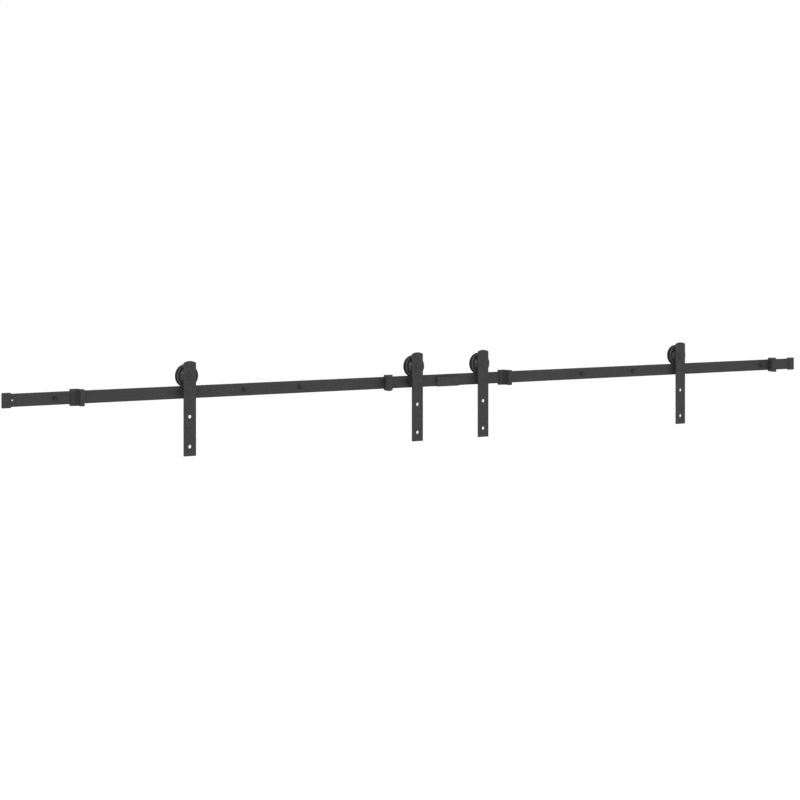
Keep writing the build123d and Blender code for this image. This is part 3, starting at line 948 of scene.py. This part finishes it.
def bearing_shield(name, body, x, y, sense):
    """Pressed steel shield that covers the balls, with a rolled outer bead."""
    sheet = 0.25 * MM * sense
    profile = ((7.45, 0, 0), (9.6, 0, 0.4), (10.1, -1.2, 0.2), (10.75, -1.2, 0),
               (10.75, 1.0, 0), (10.0, 0.9, 0.2), (9.5, 1.6, 0.4), (7.45, 1.4, 0))
    shield = Turned(along_y(x, AXLE_Z, y))
    shield.path([(radius * MM, level * sheet, rounding * MM)
                 for radius, level, rounding in profile], closed=True)
    shield.finish(name, body, "bearing_steel", ZINC)


# ---------------------------------------------------------------- wheels

def wheel(number, body, x):
    """Turned nylon wheel: grooved tread, rounded rims, ring-shaped recesses, raised hub."""
    node = f"wheel_{number}"
    low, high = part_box(node)
    rim = (high.x - low.x) / 2
    half = high.y - RAIL_MID_Y
    proud = RAIL_MID_Y - low.y                           # the hub stands out in front
    root = AXLE_OVER_RAIL - 0.2 * MM
    groove = (RAIL_BACK_Y - RAIL_FRONT_Y) / 2 + 0.3 * MM
    web = half - 4.2 * MM
    seat, pocket, bearing_half = 10.95 * MM, 13.0 * MM, 4 * MM
    hub, web_start, web_end, land = 14.5 * MM, 22.9 * MM, 29.9 * MM, 30.8 * MM
    corners = []
    for side, top in ((-1, proud), (1, half)):
        stretch = [(seat, side * top, 0.5 * MM), (hub, side * top, 3.0 * MM),
                   (web_start, side * web, 2.0 * MM), (web_end, side * web, 1.2 * MM),
                   (land, side * half, 1.3 * MM), (rim, side * half, 2.4 * MM),
                   (rim, side * (groove + 2.2 * MM), 0.5 * MM), (root, side * groove, 0.7 * MM)]
        corners += stretch if side < 0 else stretch[::-1]
    corners[-1] = (pocket, half, 0.4 * MM)
    corners += [(pocket, -bearing_half, 0), (seat, -bearing_half, 0)]
    disc = Turned(along_y(x, AXLE_Z, RAIL_MID_Y), WHEEL_STEPS)
    disc.path(corners, closed=True)
    # marks the tread and groove: rougher nylon there, and the painted shade that darkens them
    layer = edge_layer(disc.bm)
    for vertex in disc.bm.verts:
        radius = hypot(vertex.co.x - x, vertex.co.z - AXLE_Z)
        level = abs(vertex.co.y - RAIL_MID_Y)
        running = radius > root - 0.1 * MM and level < half - 2.3 * MM
        vertex[layer] = 1.0 if running else 0.0
    disc.finish(f"{node}_disc", body, "wheel_nylon", WHEEL_NYLON, replaces=[node])


def circlip(number, body, x):
    """Internal retaining ring with two lugs, open at the bottom."""
    node = f"circlip_{number}"
    low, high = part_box(node)
    outer, inner, lug_radius = 12.95 * MM, 11.4 * MM, 1.3 * MM
    gap = 14                                             # degrees, from the bottom to an end
    outline = arc_points(x, AXLE_Z, outer, -90 + gap, 270 - gap, 72)
    lug_turn = radians(270 - gap - 7)
    lug = arc_points(x + inner * cos(lug_turn), AXLE_Z + inner * sin(lug_turn),
                     lug_radius, 255 - gap, 30 - gap, 10)
    inside = arc_points(x, AXLE_Z, inner, 270 - gap - 15, -90 + gap + 15, 60)
    other = [(2 * x - u, v) for u, v in reversed(lug)]
    ring = Plate(outline + lug + inside + other, high.y - low.y, 0.12 * MM, xz_place(low.y))
    ring.finish(f"{node}_ring", body, "black_fastener", OXIDE, replaces=[node])


# ---------------------------------------------------------------- assembly

def build_track():
    rail_bar("rail_left")
    rail_bar("rail_right")
    wall_spacers("wall_spacers_left", RAIL_LOW.x)
    wall_spacers("wall_spacers_right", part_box("rail_right")[0].x)
    wall_bolts("wall_bolts_left", RAIL_LOW.x)
    wall_bolts("wall_bolts_right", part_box("rail_right")[0].x)
    joint_plate()
    joint_screws()
    joint_washers()
    end_cap("end_cap_left", -1)
    end_cap("end_cap_right", 1)
    for number, facing in ((1, 1), (2, -1), (3, 1), (4, -1)):
        stop(number, facing)
    set_screws()


def build_hanger(number):
    hanger, roller = f"hanger_{number}", f"wheel_{number}"
    x, strap_front, strap_back = strap(number, hanger)
    axle_bolt(number, hanger, x, strap_front)
    axle_collars(number, hanger, x, strap_back)
    axle_nut(number, hanger, x)
    inner_low, inner_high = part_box(f"bearing_inner_{number}")
    front, back = inner_low.y, inner_high.y
    bearing_ring(f"bearing_inner_{number}_ring", f"bearing_inner_{number}", hanger, x,
                 BEARING_BORE, BEARING_INNER_RIM, front, back, "outside")
    bearing_ring(f"bearing_outer_{number}_ring", f"bearing_outer_{number}", roller, x,
                 BEARING_OUTER_BORE, BEARING_RIM, front, back, "inside")
    bearing_shield(f"bearing_shield_{number}_front", roller, x, front + SHIELD_DEPTH, 1)
    bearing_shield(f"bearing_shield_{number}_back", roller, x, back - SHIELD_DEPTH, -1)
    wheel(number, roller, x)
    circlip(number, roller, x)


# ---------------------------------------------------------------- camera, light and stage

CAMERA_PLACE = (-3.6721, -5.5202, 0.4820)
CAMERA_YAW = 32.48           # degrees to the right of straight at the wall
LENS = 91.0
SHIFT_Y = -0.2099
FLOOR_REACH = 60
FLOOR_Z = -2.0
WHITE = (1, 1, 1, 1)
OFF_WHITE = (0.92, 0.92, 0.92, 1)


def build_camera():
    data = bpy.data.cameras.new("camera")
    data.lens = LENS
    data.sensor_width = 36.0
    data.shift_y = SHIFT_Y
    data.clip_end = 200.0
    camera = bpy.data.objects.new("camera", data)
    bpy.context.scene.collection.objects.link(camera)
    camera.location = CAMERA_PLACE
    camera.rotation_euler = (radians(90), 0, radians(-CAMERA_YAW))
    bpy.context.scene.camera = camera


def area_light(name, place, size, watts):
    """Rectangular light that faces the middle of the track."""
    data = bpy.data.lights.new(name, "AREA")
    data.shape = "RECTANGLE"
    data.size, data.size_y = size
    data.energy = watts
    light = bpy.data.objects.new(name, data)
    bpy.context.scene.collection.objects.link(light)
    light.location = place
    light.rotation_euler = (-Vector(place)).to_track_quat("-Z", "Y").to_euler()


def build_stage():
    """Plain white floor well below the track, and a white surround."""
    bm = bmesh.new()
    bmesh.ops.create_grid(bm, x_segments=1, y_segments=1, size=FLOOR_REACH)
    mesh = bpy.data.meshes.new("floor")
    bm.to_mesh(mesh)
    bm.free()
    floor = bpy.data.objects.new("floor", mesh)
    floor.location = (0, 0, FLOOR_Z)
    bpy.context.scene.collection.objects.link(floor)
    paint = Surface("white_floor")
    paint.inputs["Base Color"].default_value = OFF_WHITE
    paint.inputs["Roughness"].default_value = 0.9
    paint.inputs["Emission Color"].default_value = WHITE
    paint.inputs["Emission Strength"].default_value = 0.09
    mesh.materials.append(paint.material)
    world = bpy.data.worlds.new("studio")
    world.use_nodes = True
    surround = world.node_tree.nodes["Background"]
    surround.inputs["Color"].default_value = WHITE
    surround.inputs["Strength"].default_value = 1.0
    bpy.context.scene.world = world
    bpy.context.scene.view_settings.view_transform = "Standard"


build_camera()
build_stage()
area_light("key", (-5.6, -9.5, 5.0), (3.4, 3.4), 220)
area_light("overhead", (0, -0.6, 3.6), (5.0, 2.5), 35)
dress_nodes()
build_track()
for hanger_number in range(1, 5):
    build_hanger(hanger_number)
